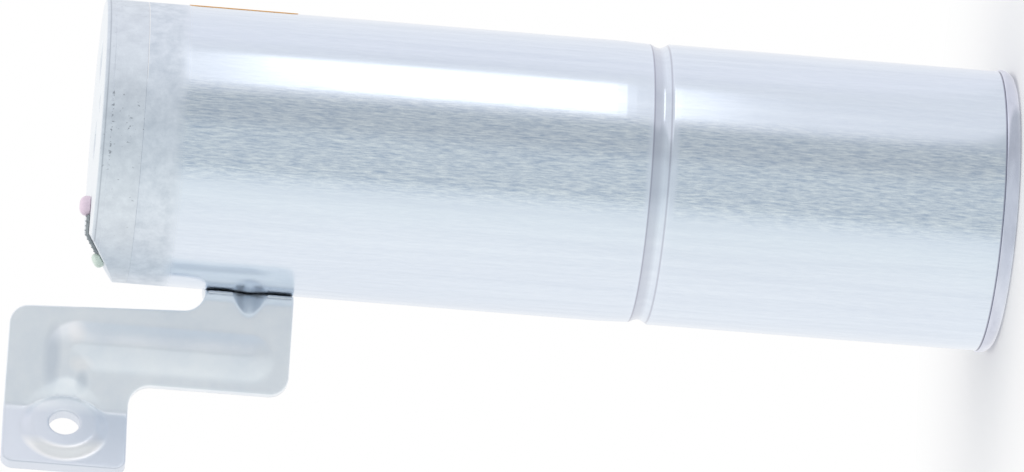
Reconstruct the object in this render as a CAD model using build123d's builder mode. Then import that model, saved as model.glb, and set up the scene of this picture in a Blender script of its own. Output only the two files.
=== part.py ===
"""Receiver-drier for a vehicle air-conditioning circuit.

The drier stands upright on its base cap.  The origin is the centre of the base, +Z runs up the axis
of the can to the header with its ports, and the mounting ear stands out on the -X side.
Millimetres throughout.
"""

import os
from math import atan2, cos, degrees, radians, sin, sqrt, tan

from build123d import *

os.makedirs("parts", exist_ok=True)

# ---------------------------------------------------------------- can
can_radius = 30.0
can_wall = 2.0
overall_height = 194.5  # base of the cap to the face of the header

# rolled bead that holds the drying pack up
bead_height = 75.4  # centre line above the base
bead_depth = 0.95
bead_floor = 2.3  # flat part of the groove
bead_width = 4.1
bead_shoulder_drop = 0.25  # how far the header side of the groove stays below the can's surface
bead_shoulder_length = 6.0
bead_ridge_half = 4.0  # half height of the ridge that the bead makes inside
bead_edge_round = 0.2
bead_floor_round = 0.7
bead_soft_round = 100.0

# ---------------------------------------------------------------- base cap
cap_rim_height = 3.1
cap_rim_stand_out = 0.35
cap_rim_round = 2.5
cap_spigot_height = 6.0
cap_wall = 2.4
cap_floor = 3.0

# ---------------------------------------------------------------- header
header_band = 9.0  # part of the header that shows above the can
header_spigot = 8.0  # part that enters the can
header_corner = 0.8
header_lip = 1.9  # turned line below the face
header_line_width = 0.35
header_line_depth = 0.16
seam_chamfer = 0.22

port_radius = 4.5
port_depth = 10.0
passage_radius = 3.0
port_chamfer = 0.5
inlet_offset = 17.0  # the outlet is on the can's axis
bolt_hole_radius = 2.55
bolt_hole_depth = 12.0
bolt_hole_x = 8.5
bolt_hole_y = -13.0

spring_boss_radius = 8.8
spring_boss_height = 2.0

facet_inner = 20.05  # where the inclined facet leaves the face, from the axis
facet_drop = 6.13  # how far down the side it ends
facet_run = can_radius - facet_inner

# ---------------------------------------------------------------- small plugs in the header
plug_line_y = -6.0
service_plug_x = -14.25
service_hole_radius = 1.5
service_hole_depth = 7.0
service_plug_length = 5.0
service_head_radius = 2.15
service_head_height = 2.3
service_head_round = 1.1
tab_thickness = 1.0
tab_width = 4.6
tab_start_offset = 1.7  # from the service plug's centre, outward
tab_end_x = -23.5
relief_plug_x = -25.15
relief_hole_radius = 0.9
relief_hole_depth = 4.6
relief_plug_length = 3.5
relief_head_radius = 1.6
relief_head_height = 1.9
relief_head_round = 0.9
plug_clearance = 0.08
head_gap = 0.1  # daylight under a plug's head and beside the tab

# ---------------------------------------------------------------- pickup tube and strainer
tube_radius = 4.0
tube_wall = 1.0
tube_end_chamfer = 0.35
tube_shoulder = 1.5  # metal left between the outlet port and the tube's socket
tube_foot = 12.0  # lower end of the tube above the base
socket_clearance = 0.03
seal_section = 0.8  # radius of the O-ring's section
seal_inset = 3.0  # O-ring's centre above the bottom of the boss

strainer_radius = 7.0
strainer_disc = 1.2
strainer_collar = 6.0
strainer_collar_wall = 1.3
strainer_rib = 1.4
strainer_ribs = 6
mesh_thickness = 0.4

# ---------------------------------------------------------------- drying pack
wall_clearance = 0.3
bore_clearance = 0.3
plate_thickness = 1.0
plate_rim = 3.0
plate_hole_radius = 1.6
plate_inner_ring = 11.5
plate_outer_ring = 20.0
plate_inner_holes = 8
plate_outer_holes = 14
pad_thickness = 8.0
spring_height = 22.0
spring_wire = 1.0  # radius of the wire
spring_turns = 4
wire_sides = 8  # the coil's wire is drawn with flats
seat_gap = 0.03
spring_boss_clearance = 0.3

# ---------------------------------------------------------------- bracket
sheet = 2.5
saddle_gap = 0.05
saddle_start = 182.0  # degrees round the can from +X, at the bend
saddle_wrap = 102.0  # degrees of the can that the saddle hugs
bend_radius = 5.5  # outside of the bend
arm_tilt = 12.9  # degrees that the arm leans forward
crease_x = -57.5
crease_turn = 30.1
crease_radius = 2.5
pad_reach = 68.9  # front edge of the pad's end, from the axis

ear_rise = 15.15  # top of the ear above the header's face
arm_length = 59.8
neck_length = 18.9
ear_pad_width = 26.25
arm_outer_x = -51.2
arm_inner_top = -36.2
arm_inner_root = -34.5
neck_fillet = 4.4
arm_corner = 4.0
pad_fillet = 4.6
pad_corner = 2.6

hole_radius = 3.25
hole_below_top = 12.95
hole_from_crease = 4.8  # along the pad
seat_radius = 9.45
seat_top_radius = 6.6
seat_rise = 1.3
seat_back_radius = 5.6

rib_width = 10.4
rib_rise = 1.5
rib_back_width = 6.4
rib_back_depth = 1.2
rib_line_x = -43.7
rib_end_above_arm = 3.5
rib_turn_radius = 6.2
rib_leg = 11.0

dart_depth = 2.3
dart_radius = 4.2
dart_wall = 2.2
dart_wall_back = 3.3  # how far behind the bend's centre the dart's wall reaches
dart_flank = 13.0  # sheet that the dart's wall overlaps on each side of the bend

# ---------------------------------------------------------------- label
label_height = 23.1
label_below_face = 17.9
label_thickness = 0.15
label_start = -4.0
label_wrap = 62.0

# derived heights
can_bottom = cap_rim_height
can_top = overall_height - header_band
spigot_bottom = can_top - header_spigot
boss_bottom = spigot_bottom - spring_boss_height
bore = can_radius - can_wall
near = 0.01  # tolerance for picking edges by place or radius


# ================================================================ can
groove_low = bead_height - bead_width / 2
groove_high = bead_height + bead_width / 2
ridge_radius = (bead_ridge_half**2 + bead_depth**2) / (2 * bead_depth)

with BuildPart() as can:
    with BuildSketch(Plane.XZ):
        with BuildLine():
            Line((can_radius - seam_chamfer, can_bottom), (can_radius, can_bottom + seam_chamfer))
            FilletPolyline(
                (can_radius, can_bottom + seam_chamfer),
                (can_radius, groove_low),
                (can_radius - bead_depth, bead_height - bead_floor / 2),
                (can_radius - bead_depth, bead_height + bead_floor / 2),
                (can_radius - bead_shoulder_drop, groove_high),
                (can_radius, groove_high + bead_shoulder_length),
                (can_radius, can_top - seam_chamfer),
                radius=[bead_edge_round, bead_floor_round, bead_floor_round, bead_floor_round, bead_soft_round],
            )
            Polyline(
                (can_radius, can_top - seam_chamfer),
                (can_radius - seam_chamfer, can_top),
                (bore, can_top),
                (bore, bead_height + bead_ridge_half),
            )
            ThreePointArc(
                (bore, bead_height + bead_ridge_half),
                (bore - bead_depth, bead_height),
                (bore, bead_height - bead_ridge_half),
            )
            Polyline(
                (bore, bead_height - bead_ridge_half),
                (bore, can_bottom),
                (can_radius - seam_chamfer, can_bottom),
            )
        make_face()
    revolve(axis=Axis.Z)
can.part.label = "can"
export_step(can.part, "parts/can.step")

# ================================================================ base cap
with BuildPart() as base_cap:
    with BuildSketch(Plane.XZ):
        rim_radius = can_radius + cap_rim_stand_out
        spigot_radius = bore - socket_clearance
        with BuildLine():
            Polyline(
                (0, 0),
                (rim_radius, 0),
                (rim_radius, cap_rim_height),
                (spigot_radius, cap_rim_height),
                (spigot_radius, cap_rim_height + cap_spigot_height),
                (spigot_radius - cap_wall, cap_rim_height + cap_spigot_height),
                (spigot_radius - cap_wall, cap_floor),
                (0, cap_floor),
                close=True,
            )
        make_face()
    revolve(axis=Axis.Z)
    rings = base_cap.edges().filter_by(GeomType.CIRCLE).sort_by(Axis.Z)
    rim_rings = rings.filter_by(lambda e: abs(e.radius - rim_radius) < near)
    floor_ring = rings.filter_by(lambda e: abs(e.radius - spigot_radius + cap_wall) < near)[0]
    fillet(rim_rings[0], radius=cap_rim_round)
    fillet(floor_ring, radius=cap_wall / 2)
base_cap.part.label = "base_cap"
export_step(base_cap.part, "parts/base_cap.step")

# ================================================================ header
facet_angle = degrees(atan2(facet_drop, facet_run))
facet_normal = Vector(-sin(radians(facet_angle)), 0, cos(radians(facet_angle)))
socket_top = overall_height - port_depth - tube_shoulder
seal_height = boss_bottom + seal_inset


def on_facet(x):
    """Point of the facet's surface above the plugs' line, at this distance along X."""
    drop = (-x - facet_inner) * tan(radians(facet_angle))
    return Vector(x, plug_line_y, overall_height - drop)


with BuildPart() as header:
    with BuildSketch(Plane.XZ):
        with BuildLine():
            Polyline(
                (0, overall_height),
                (can_radius, overall_height),
                (can_radius, overall_height - header_lip + header_line_width / 2),
                (can_radius - header_line_depth, overall_height - header_lip),
                (can_radius, overall_height - header_lip - header_line_width / 2),
                (can_radius, can_top + seam_chamfer),
                (can_radius - seam_chamfer, can_top),
                (bore - socket_clearance, can_top),
                (bore - socket_clearance, spigot_bottom),
                (spring_boss_radius, spigot_bottom),
                (spring_boss_radius, boss_bottom),
                (0, boss_bottom),
                close=True,
            )
        make_face()
    revolve(axis=Axis.Z)
    rims = header.edges().filter_by(GeomType.CIRCLE).sort_by(Axis.Z)
    fillet(rims.filter_by_position(Axis.Z, overall_height - near, overall_height + near), header_corner)
    foot = header.edges().filter_by(GeomType.CIRCLE).filter_by_position(
        Axis.Z, spigot_bottom - near, spigot_bottom + near
    )
    chamfer(foot.sort_by(SortBy.RADIUS)[-1], length=header_corner)

    # inclined facet across the corner on the ear's side
    with BuildSketch(Plane.XZ):
        with BuildLine():
            Polyline(
                (-facet_inner, overall_height),
                (-facet_inner - 2 * facet_run, overall_height - 2 * facet_drop),
                (-facet_inner - 2 * facet_run, overall_height + header_corner),
                (-facet_inner, overall_height + header_corner),
                close=True,
            )
        make_face()
    extrude(amount=can_radius, both=True, mode=Mode.SUBTRACT)

    # outlet on the axis, inlet beside it
    with Locations((0, 0, overall_height), (inlet_offset, 0, overall_height)):
        CounterBoreHole(
            radius=passage_radius,
            counter_bore_radius=port_radius,
            counter_bore_depth=port_depth,
            depth=overall_height - boss_bottom,
        )
    mouths = header.edges().filter_by(GeomType.CIRCLE).filter_by(
        lambda e: abs(e.radius - port_radius) < near and abs(e.center().Z - overall_height) < near
    )
    chamfer(mouths, length=port_chamfer)

    # socket and seal groove for the pickup tube, from below
    with BuildSketch(Plane.XY.offset(boss_bottom)):
        Circle(tube_radius + socket_clearance)
    extrude(amount=socket_top - boss_bottom, mode=Mode.SUBTRACT)
    with BuildSketch(Plane.XY.offset(seal_height - seal_section)):
        Circle(tube_radius + 2 * seal_section + socket_clearance)
    extrude(amount=2 * seal_section, mode=Mode.SUBTRACT)

    # blind holes: pipe block's bolt, service plug, plug on the facet
    with Locations((bolt_hole_x, bolt_hole_y, overall_height)):
        CounterSinkHole(
            radius=bolt_hole_radius,
            counter_sink_radius=bolt_hole_radius + port_chamfer,
            depth=bolt_hole_depth,
            counter_sink_angle=90,
        )
    with Locations((service_plug_x, plug_line_y, overall_height)):
        Hole(radius=service_hole_radius, depth=service_hole_depth)
    with Locations(Plane(origin=on_facet(relief_plug_x), z_dir=facet_normal)):
        Hole(radius=relief_hole_radius, depth=relief_hole_depth)
header.part.label = "header"
export_step(header.part, "parts/header.step")

# ================================================================ plugs in the header
with BuildPart() as service_plug:
    with BuildSketch(Plane.XY.offset(overall_height + head_gap)):
        with Locations((service_plug_x, plug_line_y)):
            Circle(service_head_radius)
    extrude(amount=service_head_height - head_gap)
    fillet(service_plug.edges().sort_by(Axis.Z)[-1], radius=service_head_round)
    with BuildSketch(Plane.XY.offset(overall_height + head_gap)):
        with Locations((service_plug_x, plug_line_y)):
            Circle(service_hole_radius - plug_clearance)
    extrude(amount=-service_plug_length)
service_plug.part.label = "service_plug"
export_step(service_plug.part, "parts/service_plug.step")

with BuildPart() as relief_plug:
    relief_plane = Plane(origin=on_facet(relief_plug_x) + facet_normal * head_gap, z_dir=facet_normal)
    with BuildSketch(relief_plane):
        Circle(relief_head_radius)
    extrude(amount=relief_head_height)
    fillet(relief_plug.edges().sort_by(Axis((0, 0, 0), facet_normal))[-1], radius=relief_head_round)
    with BuildSketch(relief_plane):
        Circle(relief_hole_radius - plug_clearance)
    extrude(amount=-relief_plug_length)
relief_plug.part.label = "relief_plug"
export_step(relief_plug.part, "parts/relief_plug.step")

# ribbed strip that the service plug is pulled by: it lies on the face and folds over the facet
with BuildPart() as plug_pull_tab:
    tab_start_x = service_plug_x - tab_start_offset
    lift = head_gap * facet_normal
    fold_x = -facet_inner - head_gap * tan(radians(facet_angle / 2))
    tab_end = on_facet(tab_end_x) + lift
    with BuildSketch(Plane.XZ.offset(-plug_line_y - tab_width / 2)):
        with BuildLine():
            tab_under = Polyline(
                (tab_start_x, overall_height + head_gap),
                (fold_x, overall_height + head_gap),
                (tab_end.X, tab_end.Z),
            )
            offset(tab_under, amount=tab_thickness, side=Side.RIGHT, closed=True)
        make_face()
    extrude(amount=tab_width)
    with Locations((service_plug_x, plug_line_y, overall_height)):
        Cylinder(service_head_radius + head_gap, 4 * service_head_height, mode=Mode.SUBTRACT)
plug_pull_tab.part.label = "plug_pull_tab"
export_step(plug_pull_tab.part, "parts/plug_pull_tab.step")

# ================================================================ pickup tube, its seal and strainer
with BuildPart() as pickup_tube:
    with BuildSketch(Plane.XY.offset(tube_foot)):
        Circle(tube_radius)
        Circle(tube_radius - tube_wall, mode=Mode.SUBTRACT)
    extrude(amount=socket_top - seat_gap - tube_foot)
    chamfer(pickup_tube.edges().group_by(Axis.Z)[-1].sort_by(SortBy.RADIUS)[-1], length=tube_end_chamfer)
pickup_tube.part.label = "pickup_tube"
export_step(pickup_tube.part, "parts/pickup_tube.step")

with BuildPart() as tube_seal_ring:
    with BuildSketch(Plane.XZ):
        with Locations((tube_radius + seal_section + socket_clearance / 2, seal_height)):
            Circle(seal_section - socket_clearance / 2)
    revolve(axis=Axis.Z)
tube_seal_ring.part.label = "tube_seal_ring"
export_step(tube_seal_ring.part, "parts/tube_seal_ring.step")

# cage: collar on the tube, ribs down to a disc that stands on the base cap's floor
cage_bottom = cap_floor + seat_gap
collar_radius = tube_radius + socket_clearance + strainer_collar_wall
with BuildPart() as strainer_frame:
    with BuildSketch(Plane.XY.offset(cage_bottom)):
        Circle(strainer_radius)
    extrude(amount=strainer_disc)
    with BuildSketch(Plane.XY.offset(tube_foot)):
        Circle(strainer_radius)
        Circle(tube_radius - tube_wall, mode=Mode.SUBTRACT)
    extrude(amount=-strainer_disc)
    with BuildSketch(Plane.XY.offset(tube_foot)):
        Circle(collar_radius)
        Circle(tube_radius + socket_clearance, mode=Mode.SUBTRACT)
    extrude(amount=strainer_collar)
    with BuildSketch(Plane.XY.offset(cage_bottom + strainer_disc)):
        with PolarLocations(strainer_radius - strainer_rib, strainer_ribs):
            Rectangle(strainer_rib, strainer_rib)
    extrude(amount=tube_foot - cage_bottom - 2 * strainer_disc)
strainer_frame.part.label = "strainer_frame"
export_step(strainer_frame.part, "parts/strainer_frame.step")

with BuildPart() as strainer_mesh:
    with BuildSketch(Plane.XY.offset(cage_bottom + strainer_disc + seat_gap)):
        Circle(strainer_radius)
        Circle(strainer_radius - mesh_thickness, mode=Mode.SUBTRACT)
    extrude(amount=tube_foot - cage_bottom - 2 * strainer_disc - 2 * seat_gap)
strainer_mesh.part.label = "strainer_mesh"
export_step(strainer_mesh.part, "parts/strainer_mesh.step")

# ================================================================ drying pack, from the bead up
pack_radius = bore - wall_clearance
ridge_centre = bore - bead_depth + ridge_radius
plate_seat = bead_height + sqrt(ridge_radius**2 - (ridge_centre - pack_radius) ** 2) + seat_gap
lower_pad_bottom = plate_seat + plate_thickness
bed_bottom = lower_pad_bottom + pad_thickness
upper_plate_top = spigot_bottom - spring_height
upper_pad_top = upper_plate_top - plate_thickness
bed_top = upper_pad_top - pad_thickness


def perforated_plate(name, bottom, rim_up):
    """Drawn plate with two rings of holes, a tube hole and a rim turned up or down."""
    with BuildPart() as plate:
        with BuildSketch(Plane.XY.offset(bottom)):
            Circle(pack_radius)
            Circle(tube_radius + bore_clearance, mode=Mode.SUBTRACT)
            with PolarLocations(plate_inner_ring, plate_inner_holes):
                Circle(plate_hole_radius, mode=Mode.SUBTRACT)
            with PolarLocations(plate_outer_ring, plate_outer_holes):
                Circle(plate_hole_radius, mode=Mode.SUBTRACT)
        extrude(amount=plate_thickness)
        with BuildSketch(Plane.XY.offset(bottom)):
            Circle(pack_radius)
            Circle(pack_radius - plate_thickness, mode=Mode.SUBTRACT)
        extrude(amount=(plate_thickness + plate_rim) if rim_up else -plate_rim)
    plate.part.label = name
    export_step(plate.part, f"parts/{name}.step")


def filling(name, bottom, top, radius):
    """Soft disc or bed with a hole for the pickup tube."""
    with BuildPart() as disc:
        with BuildSketch(Plane.XY.offset(bottom)):
            Circle(radius)
            Circle(tube_radius + bore_clearance, mode=Mode.SUBTRACT)
        extrude(amount=top - bottom)
    disc.part.label = name
    export_step(disc.part, f"parts/{name}.step")


pad_radius = pack_radius - plate_thickness - socket_clearance
perforated_plate("lower_plate", plate_seat, rim_up=True)
filling("lower_filter_pad", lower_pad_bottom, bed_bottom, pad_radius)
filling("desiccant_bed", bed_bottom, bed_top, pack_radius)
filling("upper_filter_pad", bed_top, upper_pad_top, pack_radius)
perforated_plate("upper_plate", upper_pad_top, rim_up=True)

# ================================================================ spring
spring_radius = spring_boss_radius + spring_boss_clearance + spring_wire
spring_rise = spring_height - 2 * seat_gap - 2 * spring_wire
with BuildPart() as pack_spring:
    with BuildLine(Plane.XY.offset(upper_plate_top + seat_gap + spring_wire)):
        coil = Helix(pitch=spring_rise / spring_turns, height=spring_rise, radius=spring_radius)
    with BuildSketch(Plane(origin=coil @ 0, z_dir=coil % 0)):
        RegularPolygon(radius=spring_wire, side_count=wire_sides)
    sweep(path=coil, is_frenet=True)
pack_spring.part.label = "pack_spring"
export_step(pack_spring.part, "parts/pack_spring.step")

# ================================================================ bracket
ear_top = overall_height + ear_rise
arm_bottom = ear_top - arm_length
neck_top = arm_bottom + neck_length
neck_middle = (arm_bottom + neck_top) / 2
pad_bottom = ear_top - ear_pad_width
hole_height = ear_top - hole_below_top
bend_turn = saddle_start - 90 - arm_tilt

# the face of the sheet that hugs the can, and looks forward on the arm and the pad
with BuildLine() as sheet_line:
    saddle_line = CenterArc((0, 0), can_radius + saddle_gap, saddle_start - saddle_wrap, saddle_wrap)
    bend_line = JernArc(saddle_line @ 1, saddle_line % 1, bend_radius, -bend_turn)
    arm_start = bend_line @ 1
    arm_direction = bend_line % 1
    pad_direction = arm_direction.rotate(Axis.Z, crease_turn)
    crease = arm_start + arm_direction * ((crease_x - arm_start.X) / arm_direction.X)
    pad_end = crease + pad_direction * ((-pad_reach - crease.X) / pad_direction.X)
    FilletPolyline(arm_start, crease, pad_end, radius=crease_radius)

bend_centre = arm_start + arm_direction.rotate(Axis.Z, -90) * bend_radius
bend_outward = (bend_line @ 0.5 - bend_centre).normalized()
arm_normal = arm_direction.rotate(Axis.Z, 90)
pad_normal = pad_direction.rotate(Axis.Z, 90)

# pressed dart that stiffens the bend: a round valley with its wall behind it
dart_axis = Plane(
    origin=bend_centre + bend_outward * (bend_radius - dart_depth + dart_radius) + Vector(0, 0, neck_middle),
    z_dir=bend_outward.rotate(Axis.Z, 90),
)
dart_length = 4 * (bend_radius + dart_radius)
dart_back = bend_centre - bend_outward * dart_wall_back
sheet_middle = bend_radius - sheet / 2
with BuildPart() as dart_wall_piece:
    with BuildSketch(Plane.XY.offset(arm_bottom)):
        with BuildLine():
            Polyline(
                bend_centre + (bend_line % 0) * -dart_flank + Vector(sheet_middle, 0),
                bend_centre + Vector(sheet_middle, 0),
                bend_centre + bend_outward * sheet_middle,
                bend_centre + arm_normal * sheet_middle,
                bend_centre + arm_normal * sheet_middle + arm_direction * dart_flank,
                dart_back,
                close=True,
            )
        make_face()
    extrude(amount=neck_length)
    with Locations(dart_axis):
        Cylinder(dart_radius + dart_wall, dart_length, mode=Mode.INTERSECT)

rib_half = rib_width / 2
rib_root = sheet / 3  # how deep the rib's bar reaches into the sheet
rib_origin = crease + arm_direction * ((rib_line_x - crease.X) / arm_direction.X)
rib_plane = Plane(origin=rib_origin, x_dir=(0, 0, 1), z_dir=arm_normal)


def rib_form(plane, width, rise, root):
    """Rounded L-shaped bar that lies on a plane: a swept arc with a domed end."""
    low_end = arm_bottom + rib_end_above_arm + rib_half
    with BuildPart() as form:
        with BuildLine(plane) as run:
            FilletPolyline((low_end, 0), (hole_height, 0), (hole_height, rib_leg), radius=rib_turn_radius)
        path = run.wire()
        section_plane = Plane(origin=path @ 0, x_dir=plane.y_dir, z_dir=plane.x_dir)
        with BuildSketch(section_plane) as section:
            with BuildLine():
                ThreePointArc((-width / 2, 0), (0, rise), (width / 2, 0))
                Polyline((width / 2, 0), (width / 2, -root), (-width / 2, -root), (-width / 2, 0))
            make_face()
        sweep(path=path)
        with BuildSketch(section_plane):
            add(section.sketch_local)
            Rectangle(width, 4 * width, align=(Align.MIN, Align.CENTER), mode=Mode.INTERSECT)
        revolve(axis=Axis(path @ 0, plane.z_dir))
    return form.part


rib = rib_form(rib_plane, rib_width, rib_rise, rib_root)
rib_back = rib_form(rib_plane.offset(-sheet), rib_back_width, rib_back_depth, rib_root)

seat_plane = Plane(
    origin=crease + pad_direction * hole_from_crease + Vector(0, 0, hole_height),
    x_dir=(0, 0, 1),
    z_dir=pad_normal,
)

through = 4 * sheet  # long enough to pass through the pressed sheet
with BuildPart() as bracket:
    with BuildSketch(Plane.XY.offset(arm_bottom)):
        with BuildLine():
            add(sheet_line.line)
            offset(sheet_line.line, amount=sheet, side=Side.RIGHT, closed=True)
        make_face()
    extrude(amount=arm_length)
    # sheared outline, seen along Y
    with BuildSketch(Plane.XZ):
        with BuildLine():
            FilletPolyline(
                (2 * can_radius, arm_bottom),
                (arm_outer_x, arm_bottom),
                (arm_outer_x, pad_bottom),
                (-2 * pad_reach, pad_bottom),
                radius=[arm_corner, pad_fillet],
            )
            Line((-2 * pad_reach, pad_bottom), (-2 * pad_reach, ear_top))
            FilletPolyline(
                (-2 * pad_reach, ear_top),
                (arm_inner_top, ear_top),
                (arm_inner_root, neck_top),
                (2 * can_radius, neck_top),
                radius=[arm_corner, neck_fillet],
            )
            Line((2 * can_radius, neck_top), (2 * can_radius, arm_bottom))
        make_face()
    extrude(amount=2 * can_radius, both=True, mode=Mode.INTERSECT)
    pad_corners = bracket.edges().filter_by(Axis((0, 0, 0), pad_normal)).sort_by(Axis((0, 0, 0), pad_direction))
    fillet(pad_corners[-2:], radius=pad_corner)
    add(dart_wall_piece.part)
    with Locations(dart_axis):
        Cylinder(dart_radius, dart_length, mode=Mode.SUBTRACT)
    add(rib)
    add(rib_back, mode=Mode.SUBTRACT)
    # round pressed seat for the screw's flange, with its hole
    with Locations(seat_plane.offset(seat_rise)):
        Cylinder(seat_radius, through, align=(Align.CENTER, Align.CENTER, Align.MIN), mode=Mode.SUBTRACT)
    with Locations(seat_plane.offset(-sheet)):
        Cylinder(seat_radius, sheet, align=(Align.CENTER, Align.CENTER, Align.MIN))
    with Locations(seat_plane):
        Cone(seat_radius, seat_top_radius, seat_rise, align=(Align.CENTER, Align.CENTER, Align.MIN))
    with Locations(seat_plane.offset(-sheet)):
        Cone(
            seat_back_radius + seat_rise,
            seat_back_radius,
            seat_rise,
            align=(Align.CENTER, Align.CENTER, Align.MIN),
            mode=Mode.SUBTRACT,
        )
    with Locations(seat_plane):
        Cylinder(hole_radius, through, mode=Mode.SUBTRACT)
bracket.part.label = "bracket"
export_step(bracket.part, "parts/bracket.step")

# ================================================================ label
label_top = overall_height - label_below_face
with BuildPart() as label:
    with BuildSketch(Plane.XZ.rotated((0, 0, label_start))):
        with Locations((can_radius + label_thickness / 2, label_top - label_height / 2)):
            Rectangle(label_thickness, label_height)
    revolve(axis=Axis.Z, revolution_arc=label_wrap)
label.part.label = "label"
export_step(label.part, "parts/label.step")
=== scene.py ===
from math import atan2, cos, hypot, pi, radians, sin, sqrt, tan

import bmesh
import bpy
import numpy as np
from mathutils import Matrix, Vector
from mathutils.geometry import delaunay_2d_cdt


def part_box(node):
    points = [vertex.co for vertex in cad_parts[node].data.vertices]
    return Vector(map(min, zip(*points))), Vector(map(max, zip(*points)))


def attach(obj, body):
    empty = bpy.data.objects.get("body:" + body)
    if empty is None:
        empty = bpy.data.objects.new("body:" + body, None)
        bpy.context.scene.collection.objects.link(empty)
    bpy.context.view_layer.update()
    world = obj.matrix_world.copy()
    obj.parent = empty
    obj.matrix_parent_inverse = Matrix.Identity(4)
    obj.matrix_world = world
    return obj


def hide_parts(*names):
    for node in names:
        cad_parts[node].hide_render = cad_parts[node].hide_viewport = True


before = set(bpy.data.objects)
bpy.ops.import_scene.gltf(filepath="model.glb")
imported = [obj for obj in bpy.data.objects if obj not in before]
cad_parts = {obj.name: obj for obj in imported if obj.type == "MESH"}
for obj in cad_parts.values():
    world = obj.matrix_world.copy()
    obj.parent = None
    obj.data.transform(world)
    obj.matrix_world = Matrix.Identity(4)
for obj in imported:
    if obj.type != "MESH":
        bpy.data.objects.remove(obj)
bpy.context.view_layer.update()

# ================================================================ can
# Drawn aluminium tube, 60 mm across with a 2 mm wall.  A bead rolled into it near the middle makes
# the ridge inside that carries the drying pack, and the outside is left bare, rubbed lengthwise.
# Header and base cap are welded into its two ends.

MM = 0.001
can_low, can_high = (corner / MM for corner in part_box("can"))
can_radius = can_high.x
can_wall = 2.0
bead_height = 75.4
bead_outer_height = 76.0
bead_depth = 0.95
bead_width = 4.1
bead_shoulder_drop = 0.25
bead_shoulder_length = 6.0
bead_ridge_half = 4.0
seam_chamfer = 0.04
heat_foot = can_high.z - 9.5  # the weld's heat has dulled the can above this height
seam_highlight_foot = can_high.z - 0.2
seam_highlight_side = (12, 15)  # X over which the painted highlight on the weld seam comes in, on the strip lamp's side
base_seam = (can_low.z + 0.2, can_low.z + 0.35)
rub_middle, rub_reach = 3.5, (7.5, 11.5)  # X of the rub marks, and how far from it they fade
bead_clear = (2.6, 3.6)  # distance from the bead over which the draw lines come back
bead_shade_reach = 3
bead_shade_tones = ((-1.8, 1.0), (-1.65, 0.45), (-1.45, 0.45), (-1.3, 0.95), (-0.5, 1.0), (0.6, 0.66), (1.9, 0.55))
bead_shade_tones += ((2.05, 0.15), (2.2, 0.15), (2.4, 1.0))  # height over the bead, and the painted shade there: 1 for none, lower for darker


def rounded(corners, radii, closed=False, step=radians(8)):
    """Points of an outline whose corners are turned on these radii; radius 0 stays sharp."""
    corners = [Vector(c) for c in corners]
    count = len(corners)
    points = []
    for i, (corner, radius) in enumerate(zip(corners, radii)):
        if radius == 0 or (not closed and i in (0, count - 1)):
            points.append(tuple(corner))
            continue
        back = (corners[i - 1] - corner).normalized()
        on = (corners[(i + 1) % count] - corner).normalized()
        half = back.angle(on) / 2
        centre = corner + (back + on).normalized() * radius / sin(half)
        start = corner + back * radius / tan(half) - centre
        end = corner + on * radius / tan(half) - centre
        turn = atan2(start.x * end.y - start.y * end.x, start.dot(end))
        steps = max(2, round(abs(turn) / step))
        for k in range(steps + 1):
            points.append(tuple(centre + Matrix.Rotation(turn * k / steps, 2) @ start))
    return points


def held(points, hold=0.25):
    """The same outline with a point near each end of a long straight run, to keep it flat in shading."""
    out = [points[0]]
    for a, b in zip(points, points[1:]):
        run = hypot(b[0] - a[0], b[1] - a[1])
        if run > 4 * hold:
            x, y = (b[0] - a[0]) * hold / run, (b[1] - a[1]) * hold / run
            out += [(a[0] + x, a[1] + y), (b[0] - x, b[1] - y)]
        out.append(b)
    return out


def node(tree, kind, inputs=None, **settings):
    """Adds a node to a tree; an input is a number, a vector, a colour or the output of another node."""
    made = tree.nodes.new(kind)
    for name, value in settings.items():
        setattr(made, name, value)
    for name, value in (inputs or {}).items():
        socket = made.inputs[name]
        if isinstance(value, bpy.types.NodeSocket):
            tree.links.new(value, socket)
        else:
            socket.default_value = (*value[:3], 1) if socket.type == "RGBA" else value
    return made


def new_tree(name, **inputs):
    """New Geometry Nodes tree with these inputs: returns it, and the outputs that hold what it is given."""
    tree = bpy.data.node_groups.new(name, "GeometryNodeTree")
    tree.interface.new_socket("Geometry", in_out="OUTPUT", socket_type="NodeSocketGeometry")
    for socket, kind in inputs.items():
        tree.interface.new_socket(socket, in_out="INPUT", socket_type="NodeSocket" + kind)
    return tree, node(tree, "NodeGroupInput").outputs


def ended(tree, geometry, finish):
    """Makes a tree's instances real, gives them their finish and ends the tree."""
    real = node(tree, "GeometryNodeRealizeInstances", {"Geometry": geometry}).outputs[0]
    dressed = node(tree, "GeometryNodeSetMaterial", {"Geometry": real, "Material": finish})
    node(tree, "NodeGroupOutput", {"Geometry": dressed.outputs[0]})
    return tree


def lathe_tree():
    """Turns a profile (x is the radius, y the depth below the origin) round the Z axis."""
    tree, given = new_tree("lathe", Profile="Geometry", Steps="Int", Core="Float", Finish="Material")
    profile = node(tree, "GeometryNodeMeshToCurve", {"Mesh": given["Profile"]}).outputs[0]
    circle = {"Resolution": given["Steps"], "Radius": given["Core"]}
    path = node(tree, "GeometryNodeCurvePrimitiveCircle", circle).outputs[0]
    wall = node(tree, "GeometryNodeCurveToMesh", {"Curve": path, "Profile Curve": profile}).outputs[0]
    merged = node(tree, "GeometryNodeMergeByDistance", {"Geometry": wall, "Distance": 1e-7})
    return ended(tree, merged.outputs[0], given["Finish"])


def grow(piece, tree, **sizes):
    """Runs a Geometry Nodes tree on a piece and keeps the result as a plain mesh."""
    modifier = piece.modifiers.new(tree.name, "NODES")
    modifier.node_group = tree
    for socket in tree.interface.items_tree:
        if socket.in_out == "INPUT" and socket.name in sizes:
            modifier[socket.identifier] = sizes[socket.name]
    return settled(piece)


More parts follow.
